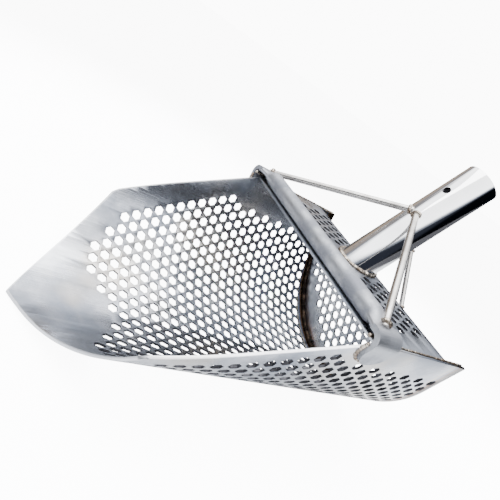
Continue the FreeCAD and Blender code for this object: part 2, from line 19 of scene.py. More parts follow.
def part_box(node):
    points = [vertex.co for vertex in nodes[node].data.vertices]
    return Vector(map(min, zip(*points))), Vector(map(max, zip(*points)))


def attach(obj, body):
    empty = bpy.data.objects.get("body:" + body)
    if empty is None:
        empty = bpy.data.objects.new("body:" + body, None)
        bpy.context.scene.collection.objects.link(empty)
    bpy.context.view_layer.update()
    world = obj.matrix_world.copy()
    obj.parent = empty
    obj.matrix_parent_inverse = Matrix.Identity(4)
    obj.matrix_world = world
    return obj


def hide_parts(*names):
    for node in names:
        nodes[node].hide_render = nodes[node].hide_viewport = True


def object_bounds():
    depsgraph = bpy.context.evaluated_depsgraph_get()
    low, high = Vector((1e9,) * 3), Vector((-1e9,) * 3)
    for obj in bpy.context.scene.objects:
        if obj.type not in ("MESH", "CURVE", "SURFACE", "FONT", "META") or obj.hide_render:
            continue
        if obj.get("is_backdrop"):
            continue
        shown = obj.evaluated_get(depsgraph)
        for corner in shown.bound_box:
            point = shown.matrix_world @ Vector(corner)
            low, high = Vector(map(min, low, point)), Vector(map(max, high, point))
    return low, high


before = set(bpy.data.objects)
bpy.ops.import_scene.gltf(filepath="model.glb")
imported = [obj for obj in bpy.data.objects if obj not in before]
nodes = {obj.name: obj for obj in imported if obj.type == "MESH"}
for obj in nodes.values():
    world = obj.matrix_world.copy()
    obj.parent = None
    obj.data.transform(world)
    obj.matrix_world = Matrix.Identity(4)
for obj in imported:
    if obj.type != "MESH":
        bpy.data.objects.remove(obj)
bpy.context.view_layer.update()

# %% [markdown]
# ## Camera
#
# The scoop is seen from in front of its nose and above its left side, from close by, so the
# nose looks large and the socket small. The view is rolled, so that the scoop lies level in the
# frame and the horizon doesn't. A camera is easiest to set from where it stands,
# the point it looks at and the roll about its line of sight.

# %% Place the camera
CAMERA_PLACE = Vector((-0.1928, -0.2294, 0.2048))
CAMERA_AIM = Vector((-0.0218, -0.0096, 0.0932))
CAMERA_ROLL = math.radians(37.0)

bpy.ops.object.camera_add(location=CAMERA_PLACE)
camera = bpy.context.object
camera.name = "camera"
camera.rotation_mode = "QUATERNION"
sight = (CAMERA_AIM - CAMERA_PLACE).to_track_quat("-Z", "Y")
camera.rotation_quaternion = sight @ Matrix.Rotation(CAMERA_ROLL, 4, "Z").to_quaternion()
camera.data.sensor_width = 36.0
camera.data.lens = 31.04
camera.data.clip_start = 0.01
bpy.context.scene.camera = camera
print("camera is", round((CAMERA_AIM - CAMERA_PLACE).length, 3), "m from what it looks at")

# %% [markdown]
# ## Hands for the bench
#
# Operators act on whatever is selected, so a few short helpers clear the selection, open and
# close edit mode, and finish a piece: its origin goes back to the world's, its modifiers are
# applied, and it is tied to the scoop's one rigid body.

# %% Selection and finishing helpers
def clear_selection():
    if bpy.context.mode != "OBJECT":
        bpy.ops.object.mode_set(mode="OBJECT")
    bpy.ops.object.select_all(action="DESELECT")


def pick(piece):
    clear_selection()
    piece.select_set(True)
    bpy.context.view_layer.objects.active = piece


def add_modifier(piece, kind, **settings):
    """Add a modifier with its settings and apply it at once."""
    pick(piece)
    modifier = piece.modifiers.new(kind.lower(), kind)
    for name, value in settings.items():
        setattr(modifier, name, value)
    bpy.ops.object.modifier_apply(modifier=modifier.name)


def two_finishes(piece):
    """Make room for a second material, for faces that a modifier adds."""
    piece.data.materials.append(None)
    piece.data.materials.append(None)


def finish_piece(piece, name, slot, *stands_for):
    """Apply a piece's place, name it, and say what it rides on and which CAD nodes it stands for."""
    pick(piece)
    bpy.ops.object.transform_apply(location=True, rotation=True, scale=True)
    piece.name = name
    piece.data.name = name
    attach(piece, "root")
    if stands_for:
        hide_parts(*stands_for)
    piece.data.calc_loop_triangles()
    print(name, "has", len(piece.data.loop_triangles), "triangles")


# %% [markdown]
# ## The rolled section
#
# Seen end on, the basket is a shallow V along the keel, then a wide roll, then a straight flank.
# A point of the flat blank is given by how far along the scoop it lies and how far it is from
# the keel, measured along the sheet. This function says where rolling takes it.

# %% Section of the basket
GAUGE = 0.002
CREASE = math.radians(9)
FLANK = math.radians(77)
ROLL = 0.094
ROLL_START = 0.016
ROLL_END = ROLL_START + ROLL * (FLANK - CREASE)
KEEL_Z = GAUGE / math.cos(CREASE)
ROLL_Y = ROLL_START * math.cos(CREASE) - ROLL * math.sin(CREASE)
ROLL_Z = KEEL_Z + ROLL_START * math.sin(CREASE) + ROLL * math.cos(CREASE)


def section(distance):
    """(y, z) of the inner surface at a distance from the keel along the sheet."""
    slope = min(max(CREASE, CREASE + (distance - ROLL_START) / ROLL), FLANK)
    along = min(distance - ROLL_START, 0.0) + max(distance - ROLL_END, 0.0)
    y = ROLL_Y + ROLL * math.sin(slope) + along * math.cos(slope)
    z = ROLL_Z - ROLL * math.cos(slope) + along * math.sin(slope)
    return y, z


def half_width(z):
    """Half width of the inside of the basket at a height."""
    flat_y, flat_z = section(ROLL_START)
    flank_y, flank_z = section(ROLL_END)
    if z <= flat_z:
        return max(z - KEEL_Z, 0.0) / math.tan(CREASE)
    if z >= flank_z:
        return flank_y + (z - flank_z) / math.tan(FLANK)
    return ROLL_Y + math.sqrt(ROLL ** 2 - (ROLL_Z - z) ** 2)


shell_low, shell_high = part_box("basket_shell")
NOSE_X = shell_low[0]
KEEL_REAR_X = shell_high[0]
RIM_Z = shell_high[2]
RIM_DISTANCE = ROLL_END + (RIM_Z - section(ROLL_END)[1]) / math.sin(FLANK)
print("the blank is", round(2 * RIM_DISTANCE, 4), "m wide and", round(KEEL_REAR_X - NOSE_X, 4), "m long")

# %% [markdown]
# ## Cutting a flat blank
#
# A laser cuts the outline and every hexagonal hole while the sheet is flat. Here the outline is
# drawn by extruding one vertex from point to point, a six sided circle is added for each hole,
# and Fill covers what lies between them. Bisect then scores the flat mesh where it will bend,
# because only a cut line can turn into a smooth roll.

# %% Draw an outline
HOLE_FLATS = 0.007
HOLE_CORNER = HOLE_FLATS / math.sqrt(3)
HOLE_PITCH = 0.010
COLUMN_STEP = HOLE_PITCH * math.cos(math.radians(30))
SAME_PLACE = 0.00005
print("a hole is", round(2 * HOLE_CORNER, 4), "m across its corners")


def trace(points):
    """Draw a closed outline in the XY plane, one extruded vertex after another."""
    bpy.ops.mesh.primitive_plane_add(size=GAUGE, location=(points[0][0], points[0][1], 0))
    bpy.ops.object.mode_set(mode="EDIT")
    bpy.ops.mesh.merge(type="CENTER")
    for a, b in zip(points, points[1:] + points[:1]):
        step = (b[0] - a[0], b[1] - a[1], 0)
        bpy.ops.mesh.extrude_region_move(TRANSFORM_OT_translate={"value": step})
    bpy.ops.mesh.select_all(action="SELECT")
    bpy.ops.mesh.remove_doubles(threshold=SAME_PLACE)
    bpy.ops.object.mode_set(mode="OBJECT")
    bpy.ops.object.transform_apply(location=True)
    bpy.ops.object.mode_set(mode="EDIT")


# %% Cut and score a blank
FLAT_SCALE = 10


def cut_blank(outline, holes, score_lines, axis):
    """Flat blank with hexagonal holes, scored across an axis for bending, with its flat places as UVs."""
    clear_selection()
    trace(outline)
    for x, y in holes:
        bpy.ops.mesh.primitive_circle_add(vertices=6, radius=HOLE_CORNER, location=(x, y, 0))
    bpy.ops.mesh.select_all(action="SELECT")
    bpy.ops.mesh.fill(use_beauty=True)
    for place in score_lines:
        bpy.ops.mesh.select_all(action="SELECT")
        bpy.ops.mesh.bisect(plane_co=axis * place, plane_no=axis)
    bpy.ops.mesh.select_all(action="SELECT")
    bpy.ops.mesh.normals_make_consistent(inside=False)
    bpy.ops.object.mode_set(mode="OBJECT")
    blank = bpy.context.object
    if blank.data.polygons[0].normal.z < 0:
        blank.data.flip_normals()
    flat = blank.data.uv_layers.new(name="flat")
    for loop in blank.data.loops:
        place = blank.data.vertices[loop.vertex_index].co
        flat.data[loop.index].uv = (place.x * FLAT_SCALE, place.y * FLAT_SCALE)
    return blank


# %% Bend and thicken a blank
EASED_EDGE = 0.00025


def bend(blank, move):
    """Take every point of a flat blank to its place on the bent sheet."""
    for vertex in blank.data.vertices:
        vertex.co = move(vertex.co.x, vertex.co.y)
    blank.data.update()


def thicken(sheet, holes):
    """Give a bent sheet its gauge, mark the walls of its holes and ease its sharp edges."""
    two_finishes(sheet)
    add_modifier(sheet, "SOLIDIFY", thickness=GAUGE, offset=-1.0, use_even_offset=True, material_offset_rim=1)
    centres = KDTree(len(holes))
    for index, (x, y) in enumerate(holes):
        centres.insert((x, y, 0), index)
    centres.balance()
    flat = sheet.data.uv_layers["flat"].data
    # The walls of the holes keep the second material, a dull steel painted near black as the shade inside the
    # holes.
    for face in sheet.data.polygons:
        if face.material_index == 1:
            corners = [flat[loop].uv / FLAT_SCALE for loop in face.loop_indices]
            middle = sum(corners, Vector((0, 0))) / len(corners)
            face.material_index = 1 if centres.find((*middle, 0))[2] < HOLE_CORNER else 0
    add_modifier(sheet, "BEVEL", width=EASED_EDGE, segments=2, limit_method="ANGLE",
                 angle_limit=math.radians(50), loop_slide=False)
    pick(sheet)
    bpy.ops.object.shade_smooth_by_angle(angle=math.radians(35))


# %% [markdown]
# ## The basket shell
#
# The cutting edges bow out from the nose to a corner on each side, and from there the sheet
# rises in a straight line to the rim. The sieve holes stand in staggered columns that leave a
# solid margin along every cut edge, and start in two small patches beside the keel.

# %% Outline of the shell
CORNER_X, CORNER_Y, CORNER_Z = -0.0944, 0.0841, 0.0532
BOW_X, BOW_Y = -0.1217, 0.0485
RIM_FRONT_X, RIM_REAR_X = 0.025, 0.127
WALL_LEAN = math.atan2(KEEL_REAR_X - RIM_REAR_X, RIM_Z)
SCORE = 0.004


def circle_through(a, b, c):
    """Centre and radius of the circle through three points of a plane."""
    ab, ac = (b - a), (c - a)
    turn = 2 * (ab.x * ac.y - ab.y * ac.x)
    x = (ac.y * ab.length_squared - ab.y * ac.length_squared) / turn
    y = (ab.x * ac.length_squared - ac.x * ab.length_squared) / turn
    return a + Vector((x, y)), math.hypot(x, y)


bow_centre, bow_radius = circle_through(
    Vector((NOSE_X, 0)), Vector((BOW_X, BOW_Y)), Vector((CORNER_X, CORNER_Y))
)


def front_edge(distance):
    """x of the cut edge in front, at a distance from the keel."""
    y, z = section(distance)
    if y <= CORNER_Y:
        return bow_centre.x - math.sqrt(bow_radius ** 2 - (y - bow_centre.y) ** 2)
    return CORNER_X + (z - CORNER_Z) * (RIM_FRONT_X - CORNER_X) / (RIM_Z - CORNER_Z)


def rear_edge(distance):
    """x of the cut edge behind, where the rear wall leans."""
    return KEEL_REAR_X - section(distance)[1] * math.tan(WALL_LEAN)


steps = round(RIM_DISTANCE / SCORE)
distances = [RIM_DISTANCE * k / steps for k in range(steps + 1)]
front_half = [(front_edge(d), d) for d in distances]
rear_half = [(rear_edge(d), d) for d in reversed(distances)]
shell_outline = front_half + rear_half
shell_outline += [(x, -d) for x, d in reversed(shell_outline[1:-1])]
print("the cutting edges bow out with a radius of", round(bow_radius, 4), "m")

# %% Sieve holes of the shell
FIRST_COLUMN_X = -0.079
WIDEST = 0.090
FIELD_SHIFT = 0.005
HALF_PITCH = HOLE_PITCH / 2
LAST_COLUMN = 23
MOST_IN_COLUMN = 20
ROUNDING = 0.0001


def column_range(column):
    """Nearest and furthest hole of a column from the field's own centre line."""
    if column == -2:
        return WIDEST - 10 * HALF_PITCH, WIDEST - 6 * HALF_PITCH
    if column == -1:
        return WIDEST - 13 * HALF_PITCH, WIDEST - 3 * HALF_PITCH
    if column == 0:
        return 2 * HALF_PITCH, WIDEST
    return 0.0, WIDEST + (column if column <= 10 else 9) * HALF_PITCH


shell_holes = []
for column in range(-2, LAST_COLUMN + 1):
    low, high = column_range(column)
    first = 0.0 if column % 2 == 0 else HALF_PITCH
    for k in range(MOST_IN_COLUMN):
        distance = first + k * HOLE_PITCH
        if low - ROUNDING <= distance <= high + ROUNDING:
            x = FIRST_COLUMN_X + column * COLUMN_STEP
            sides = (1, -1) if distance > 0 else (1,)
            shell_holes += [(x, side * distance - FIELD_SHIFT) for side in sides]
print("the shell has", len(shell_holes), "holes")

# %% Cut, roll and thicken the shell
def roll_shell(x, distance):
    """Where rolling takes a point of the flat shell."""
    y, z = section(abs(distance))
    return Vector((x, math.copysign(y, distance), z))


shell_scores = [0.0]
for k in range(-steps, steps + 1):
    place = k * SCORE
    if ROLL_START - SCORE < abs(place) < ROLL_END + SCORE:
        shell_scores.append(place)
shell = cut_blank(shell_outline, shell_holes, shell_scores, Vector((0, 1, 0)))
bend(shell, roll_shell)
thicken(shell, shell_holes)
finish_piece(shell, "rolled_basket", "sheet_steel", "basket_shell")

# %% [markdown]
# ## The roof and rear wall
#
# One more blank is bent over a large radius. Its flat outline is found from the basket: at each
# place along the strip, the sheet is as wide as the inside of the basket at that height, so it
# drops in and meets the shell all round. The rows of holes run across and get shorter towards
# the keel, and the sheet stays whole where the socket stands.

# %% Shape of the rear panel
panel_low, panel_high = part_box("rear_panel")
ROOF_FRONT_X = panel_low[0]
WALL_SETBACK = 0.0015
BEND = 0.030
BEND_TURN = math.radians(90) - WALL_LEAN
BEND_Z = RIM_Z - BEND
BEND_X = (KEEL_REAR_X - WALL_SETBACK) - BEND_Z * math.tan(WALL_LEAN) - BEND / math.cos(WALL_LEAN)
ROOF_RUN = BEND_X - ROOF_FRONT_X
WALL_RUN = ROOF_RUN + BEND * BEND_TURN
WALL_TOP_Z = BEND_Z + BEND * math.cos(BEND_TURN)
FOOT_RUN = WALL_RUN + (WALL_TOP_Z - KEEL_Z) / math.cos(WALL_LEAN)


def panel_place(run):
    """(x, z) of the outer surface at a run from the front of the roof."""
    if run <= ROOF_RUN:
        return ROOF_FRONT_X + run, RIM_Z
    turn = min((run - ROOF_RUN) / BEND, BEND_TURN)
    down = max(run - WALL_RUN, 0.0)
    x = BEND_X + BEND * math.sin(turn) + down * math.sin(WALL_LEAN)
    z = BEND_Z + BEND * math.cos(turn) - down * math.cos(WALL_LEAN)
    return x, z


def bend_panel(run, y):
    """Where bending takes a point of the flat panel."""
    x, z = panel_place(run)
    return Vector((x, y, z))


PANEL_STEPS = 64
panel_runs = [FOOT_RUN * k / PANEL_STEPS for k in range(PANEL_STEPS)]
panel_outline = [(run, half_width(panel_place(run)[1])) for run in panel_runs] + [(FOOT_RUN, 0.0)]
panel_outline += [(run, -y) for run, y in reversed(panel_outline[:-1])]
print("the rear panel is", round(FOOT_RUN, 4), "m long before it is bent")

# %% Sieve holes of the panel
WALL_ROW_Z = 0.065
ROOF_FIRST_HOLE_X = 0.042
FIELD_HALF = 0.081
FIELD_TAPER = 1.75
FIELD_FOOT_Z = 0.012
SOCKET_X = 0.084
SOCKET_RADIUS = 0.016
ROWS = range(-14, 7)
PLACES = range(-9, 10)
first_row = WALL_RUN + (WALL_TOP_Z - WALL_ROW_Z) / math.cos(WALL_LEAN)
panel_holes = []
for row in ROWS:
    run = first_row + row * COLUMN_STEP
    x, z = panel_place(run)
    half = FIELD_HALF if run < WALL_RUN else min(FIELD_HALF, FIELD_TAPER * (z - FIELD_FOOT_Z))
    shift = HOLE_PITCH / 2 if row % 2 == 0 else 0.0
    for k in PLACES:
        y = k * HOLE_PITCH + shift
        under_socket = math.hypot(x - SOCKET_X, y) < SOCKET_RADIUS + HOLE_PITCH
        if x > ROOF_FIRST_HOLE_X and abs(y) <= half and not under_socket:
            panel_holes.append((run, y))
print("the rear panel has", len(panel_holes), "holes")

# %% Cut, bend and thicken the panel
BEND_STEPS = 16
panel_scores = [ROOF_RUN + (WALL_RUN - ROOF_RUN) * k / BEND_STEPS for k in range(BEND_STEPS + 1)]
panel = cut_blank(panel_outline, panel_holes, panel_scores, Vector((1, 0, 0)))
bend(panel, bend_panel)
thicken(panel, panel_holes)
finish_piece(panel, "roof_and_wall", "sheet_steel", "rear_panel")

# %% [markdown]
# ## The handle socket
#
# The socket is a length of polished tube. Polish shows every flat, so it gets many more sides
# than the CAD model's. It is cut to a mitre where it stands on the roof and drilled right
# through near its mouth, for the bolt that keeps the handle in. The inside is left dull and
# painted near black as shade, so Solidify gives the inner wall this second, painted shade finish.

# %% Cut, mitre and drill the socket
SOCKET_LEAN = math.radians(65)
SOCKET_LENGTH = 0.1185
SOCKET_FOOT = Vector((SOCKET_X, 0, RIM_Z))
BOLT_ALONG = 0.0885
BOLT_RADIUS = 0.00325
BELOW_ROOF = 0.03
SOCKET_SIDES = 144
MOUTH_EDGE = 0.0004
BLOCK = 0.2
socket_axis = Vector((math.cos(SOCKET_LEAN), 0, math.sin(SOCKET_LEAN)))
socket_front = Vector((-math.sin(SOCKET_LEAN), 0, math.cos(SOCKET_LEAN)))


def on_socket(along, around, radius):
    """Point beside the socket: along its axis, then turned from its front to its right."""
    turn = math.radians(around)
    out = socket_front * math.cos(turn) + Vector((0, 1, 0)) * math.sin(turn)
    return SOCKET_FOOT + socket_axis * along + out * radius


def carve(piece, cutter):
    """Cut one shape out of a piece, and clear the cutter away."""
    add_modifier(piece, "BOOLEAN", object=cutter, operation="DIFFERENCE", solver="EXACT")
    bpy.data.objects.remove(cutter)


clear_selection()
middle = SOCKET_FOOT + socket_axis * (SOCKET_LENGTH - BELOW_ROOF) / 2
bpy.ops.mesh.primitive_cylinder_add(
    vertices=SOCKET_SIDES, radius=SOCKET_RADIUS, depth=SOCKET_LENGTH + BELOW_ROOF, end_fill_type="NOTHING",
    location=middle, rotation=(0, math.radians(90) - SOCKET_LEAN, 0)
)
socket = bpy.context.object
two_finishes(socket)
# The inner wall takes the second material, a dull steel painted near black as the shade inside the tube.
add_modifier(socket, "SOLIDIFY", thickness=GAUGE, offset=-1.0, material_offset=1)
add_modifier(socket, "BEVEL", width=MOUTH_EDGE, segments=3, limit_method="ANGLE",
             angle_limit=math.radians(50))
bpy.ops.mesh.primitive_cube_add(size=BLOCK, location=(SOCKET_X, 0, RIM_Z - BLOCK / 2))
carve(socket, bpy.context.object)
bpy.ops.mesh.primitive_cylinder_add(
    vertices=48, radius=BOLT_RADIUS, depth=0.08, location=on_socket(BOLT_ALONG, 0, 0.0),
    rotation=(0, -SOCKET_LEAN, 0)
)
carve(socket, bpy.context.object)
pick(socket)
bpy.ops.object.shade_smooth_by_angle(angle=math.radians(40))
finish_piece(socket, "polished_socket", "socket_steel", "handle_socket")

# %% [markdown]
# ## Weld beads
#
# A bead is a row of small puddles, each frozen a little further on than the last. So it is made
# the way it is laid: one small ball after another along the joint, none quite the same size,
# then the lot is fused into one skin with a voxel remesh. The ripples that are left show which
# way the welder moved.

# %% Laying a bead
dice = random.Random(7)
beads = []
OVERLAP = 0.85


def walk(points, pitch):
    """Places a pitch apart along a line of points."""
    places, start = [], 0.0
    for a, b in zip(points, points[1:]):
        length = (b - a).length
        while start < length:
            places.append(a.lerp(b, start / length))
            start += pitch
        start -= length
    return places


def lay_bead(name, runs, size, *stands_for):
    """Lay overlapping balls along each run and fuse them into one bead."""
    clear_selection()
    places = [place for run in runs for place in walk(run, size * OVERLAP)]
    bpy.ops.mesh.primitive_uv_sphere_add(segments=16, ring_count=10, radius=size, location=places[0])
    bead = bpy.context.object
    bpy.ops.object.mode_set(mode="EDIT")
    for place in places[1:]:
        shift = Vector([dice.uniform(-0.12, 0.12) * size for _ in range(3)])
        bpy.ops.mesh.primitive_uv_sphere_add(
            segments=16, ring_count=10, radius=size * dice.uniform(0.85, 1.12), location=place + shift
        )
    bpy.ops.object.mode_set(mode="OBJECT")
    add_modifier(bead, "REMESH", mode="VOXEL", voxel_size=size / 6)
    add_modifier(bead, "SMOOTH", factor=0.5, iterations=3)
    pick(bead)
    bpy.ops.object.shade_smooth()
    finish_piece(bead, name, "weld_metal", *stands_for)
    beads.append(bead)


def ring_path(centre, axis, radius, turns=24):
    """Closed circle of points round an axis."""
    side = axis.orthogonal().normalized()
    other = axis.normalized().cross(side)
    angles = [2 * math.pi * k / turns for k in range(turns + 1)]
    return [centre + (side * math.cos(a) + other * math.sin(a)) * radius for a in angles]


def wall_front(z):
    """x of the rear wall's front surface at a height."""
    return KEEL_REAR_X - WALL_SETBACK - z * math.tan(WALL_LEAN) - GAUGE / math.cos(WALL_LEAN)


# %% The seam inside the rear wall
SEAM = 0.0024
SEAM_TOP_Z = 0.084
SEAM_STEPS = 60
FROM_WALL, FROM_SHELL = 0.0004, 0.0006
seam_end = ROLL_END + (SEAM_TOP_Z - section(ROLL_END)[1]) / math.sin(FLANK)
seam_path = []
for k in range(-SEAM_STEPS, SEAM_STEPS + 1):
    distance = seam_end * k / SEAM_STEPS
    y, z = section(abs(distance))
    y = math.copysign(y - FROM_SHELL, distance)
    seam_path.append(Vector((wall_front(z) - FROM_WALL, y, z + FROM_SHELL)))
lay_bead("rear_seam_bead", [seam_path], SEAM, "rear_seam_weld")

# %% Beads on the roof
BAR_X, BAR_RADIUS, BAR_HALF = 0.026, 0.007, 0.084
RIM_Y = half_width(RIM_Z)
RIM_WELD_FRONT_X, RIM_WELD_REAR_X = 0.037, 0.123
ON_ROOF = RIM_Z + 0.0008
SIDES = ((1, "right"), (-1, "left"))
RING_STEPS = 48
reach = SOCKET_RADIUS + 0.001
ring = [
    Vector((SOCKET_X + reach / math.sin(SOCKET_LEAN) * math.cos(a), reach * math.sin(a), ON_ROOF))
    for a in [2 * math.pi * k / RING_STEPS for k in range(RING_STEPS + 1)]
]
lay_bead("socket_bead", [ring], 0.0019, "socket_weld")
bar_run = [Vector((BAR_X + BAR_RADIUS + 0.0006, y, ON_ROOF)) for y in (-BAR_HALF, BAR_HALF)]
lay_bead("bar_bead", [bar_run], 0.0013, "bar_weld")
for side, word in SIDES:
    ends = (RIM_WELD_FRONT_X, RIM_WELD_REAR_X)
    run = [Vector((x, side * (RIM_Y - 0.0004), RIM_Z + 0.0001)) for x in ends]
    lay_bead(f"rim_bead_{word}", [run], 0.0009, f"rim_weld_{word}")

# %% Beads round the flattened ends of the bar
TONGUE_HALF, TONGUE_Z, TONGUE_TOP_Z = 0.011, 0.107, 0.111
ROUND_STEPS = 12
SHOULDER_X = (0.015, 0.037)
reach = TONGUE_HALF + 0.0004
outline = [(-reach, TONGUE_TOP_Z)]
for k in range(ROUND_STEPS + 1):
    turn = math.pi * k / ROUND_STEPS
    outline.append((-reach * math.cos(turn), TONGUE_Z - reach * math.sin(turn)))
outline.append((reach, TONGUE_TOP_Z))
for side, word in SIDES:
    shoulder = [Vector((x, side * (RIM_Y - 0.0018), RIM_Z + 0.0022)) for x in SHOULDER_X]
    tongue = [Vector((BAR_X + x, side * (half_width(z) + GAUGE / math.sin(FLANK)), z)) for x, z in outline]
    lay_bead(f"lug_bead_{word}", [shoulder, tongue], 0.0014, f"lug_weld_{word}")

# %% Beads at the ends of the rods
STRUT_FOOT_Y, STRUT_FOOT_Z = 0.095, 0.122
STRUT_ALONG, STRUT_AROUND = 0.058, 13
BRACE_FOOT_X, BRACE_FOOT_Y, BRACE_FOOT_Z = 0.114, 0.040, 0.1084
BRACE_ALONG, BRACE_AROUND = 0.043, 145
STRUT_RING, BRACE_RING = 0.0027, 0.0019
for side, word in SIDES:
    strut_foot = Vector((BAR_X, side * STRUT_FOOT_Y, STRUT_FOOT_Z))
    strut_head = on_socket(STRUT_ALONG, side * STRUT_AROUND, SOCKET_RADIUS)
    brace_foot = Vector((BRACE_FOOT_X, side * BRACE_FOOT_Y, BRACE_FOOT_Z))
    brace_head = on_socket(BRACE_ALONG, side * BRACE_AROUND, SOCKET_RADIUS)
    strut = (strut_head - strut_foot).normalized()
    brace = (brace_head - brace_foot).normalized()
    for end, centre, axis, radius, size in (
        ("strut_foot", strut_foot + strut * 0.0012, strut, STRUT_RING, 0.0018),
        ("strut_head", strut_head - strut * 0.0008, strut, STRUT_RING, 0.0017),
        ("brace_foot", brace_foot + brace * 0.0008, brace, BRACE_RING, 0.0012),
        ("brace_head", brace_head - brace * 0.0006, brace, BRACE_RING, 0.0012),
    ):
        ring = ring_path(centre, axis, radius)
        lay_bead(f"{end}_bead_{word}", [ring], size, f"{end}_weld_{word}")
print(len(beads), "beads laid")

# %% [markdown]
# ## Finishes
#
# Stainless steel has one colour and many surfaces. Rolling leaves a fine grain, hands and wet
# sand leave cloudy smudges, and welding leaves rings of straw, brown and blue. Each of these
# three is a node group here, so that every metal in the scoop can take as much of it as it has
# on the real one. First come short helpers, because a node tree built by hand is long to read.

# %% Node helpers
def new_group(name, inputs, outputs):
    """An empty node group, with the sockets it is fed from and the ones it is to feed."""
    group = bpy.data.node_groups.new(name, "ShaderNodeTree")
    for label, kind, value in inputs:
        socket_in = group.interface.new_socket(label, in_out="INPUT", socket_type=f"NodeSocket{kind}")
        if value is not None:
            socket_in.default_value = value
    for label, kind in outputs:
        group.interface.new_socket(label, in_out="OUTPUT", socket_type=f"NodeSocket{kind}")
    start = group.nodes.new("NodeGroupInput")
    end = group.nodes.new("NodeGroupOutput")
    return group, start.outputs, end.inputs


def add_node(tree, kind, **settings):
    node = tree.nodes.new(kind)
    for name, value in settings.items():
        setattr(node, name, value)
    return node


def feed(tree, target, source):
    """Set a socket to a number or colour, or link it to another socket."""
    if isinstance(source, bpy.types.NodeSocket):
        tree.links.new(source, target)
    else:
        target.default_value = source


def maths(tree, operation, *values):
    node = add_node(tree, "ShaderNodeMath", operation=operation)
    for socket_in, value in zip(node.inputs, values):
        feed(tree, socket_in, value)
    return node.outputs[0]


def noise(tree, vector, scale, detail=4.0, roughness=0.55, stretch=None):
    """Noise by place, drawn out along an axis where stretch is given."""
    if stretch:
        mapping = add_node(tree, "ShaderNodeMapping")
        feed(tree, mapping.inputs["Vector"], vector)
        feed(tree, mapping.inputs["Scale"], stretch)
        vector = mapping.outputs["Vector"]
    node = add_node(tree, "ShaderNodeTexNoise")
    feed(tree, node.inputs["Vector"], vector)
    feed(tree, node.inputs["Scale"], scale)
    feed(tree, node.inputs["Detail"], detail)
    feed(tree, node.inputs["Roughness"], roughness)
    return node.outputs["Fac"]


def between(tree, value, low, high, to_low=0.0, to_high=1.0):
    """Ease a value from one range to another."""
    node = add_node(tree, "ShaderNodeMapRange", interpolation_type="SMOOTHSTEP")
    feed(tree, node.inputs["Value"], value)
    for label, number in (("From Min", low), ("From Max", high), ("To Min", to_low), ("To Max", to_high)):
        feed(tree, node.inputs[label], number)
    return node.outputs["Result"]


def blend(tree, amount, a, b, mode="MIX"):
    """Mix two colours, each a socket or a plain colour."""
    node = add_node(tree, "ShaderNodeMix", data_type="RGBA", blend_type=mode)
    feed(tree, node.inputs[0], amount)
    feed(tree, node.inputs[6], a)
    feed(tree, node.inputs[7], b)
    return node.outputs[2]


# %% Node groups: grain, smudges and heat
grain, start, end = new_group(
    "rolled_grain", [("Vector", "Vector", None), ("Depth", "Float", 0.3)],
    [("Streaks", "Float"), ("Normal", "Vector")]
)
GRAIN_HEIGHT = 0.0002
streaks = noise(grain, start["Vector"], 60.0, detail=3.0, stretch=(1.0, 16.0, 16.0))
bump = add_node(grain, "ShaderNodeBump")
feed(grain, bump.inputs["Strength"], start["Depth"])
feed(grain, bump.inputs["Distance"], GRAIN_HEIGHT)
feed(grain, bump.inputs["Height"], streaks)
feed(grain, end["Streaks"], streaks)
feed(grain, end["Normal"], bump.outputs["Normal"])

smudges, start, end = new_group(
    "hand_smudges", [("Vector", "Vector", None), ("Size", "Float", 4.0)],
    [("Clouds", "Float")]
)
clouds = noise(smudges, start["Vector"], start["Size"], detail=5.0, roughness=0.6)
feed(smudges, end["Clouds"], between(smudges, clouds, 0.36, 0.66))

heat, start, end = new_group(
    "heat_colours", [("Distance", "Float", 1.0), ("Reach", "Float", 0.01), ("Colour", "Color", (1, 1, 1, 1))],
    [("Colour", "Color")]
)
near = maths(heat, "DIVIDE", start["Distance"], start["Reach"])
rings = add_node(heat, "ShaderNodeValToRGB")
feed(heat, rings.inputs["Fac"], near)
rings.color_ramp.elements[0].color = (0.030, 0.020, 0.014, 1)
rings.color_ramp.elements[1].position = 1.0
rings.color_ramp.elements[1].color = (0.62, 0.60, 0.56, 1)
for place, colour in ((0.30, (0.055, 0.033, 0.020, 1)), (0.48, (0.22, 0.13, 0.07, 1)),
                      (0.64, (0.20, 0.24, 0.34, 1)), (0.80, (0.55, 0.47, 0.33, 1))):
    rings.color_ramp.elements.new(place).color = colour
amount = between(heat, near, 0.7, 1.0, 1.0, 0.0)
feed(heat, end["Colour"], blend(heat, amount, start["Colour"], rings.outputs["Color"]))
print("node groups", [group.name for group in (grain, smudges, heat)])

# %% Metal
FLECK = 0.35


def use_group(tree, group, **values):
    """Place a node group in a material with values of its own."""
    node = add_node(tree, "ShaderNodeGroup", node_tree=group)
    for label, value in values.items():
        feed(tree, node.inputs[label], value)
    return node.outputs


def metal(name, colour, dark, roughness, depth, size):
    """A metal with grain and smudges. Depth is the grain's, size is how small the smudges are."""
    material = bpy.data.materials.new(name)
    material.use_nodes = True
    tree = material.node_tree
    shader = tree.nodes["Principled BSDF"]
    place = add_node(tree, "ShaderNodeTexCoord").outputs["Object"]
    grains = use_group(tree, grain, Vector=place, Depth=depth)
    marks = use_group(tree, smudges, Vector=place, Size=size)
    tone = blend(tree, marks["Clouds"], (*dark, 1), (*colour, 1))
    fleck = maths(tree, "MULTIPLY", grains["Streaks"], FLECK)
    tone = blend(tree, fleck, tone, (*dark, 1))
    rough = maths(tree, "ADD", between(tree, marks["Clouds"], 0.0, 1.0, roughness * 1.35, roughness * 0.85),
                  maths(tree, "MULTIPLY", grains["Streaks"], roughness * 0.3))
    feed(tree, shader.inputs["Metallic"], 1.0)
    feed(tree, shader.inputs["Base Color"], tone)
    feed(tree, shader.inputs["Roughness"], rough)
    feed(tree, shader.inputs["Normal"], grains["Normal"])
    return material


def dress(piece, material):
    """Give a whole piece one material."""
    piece.data.materials.clear()
    piece.data.materials.append(material)
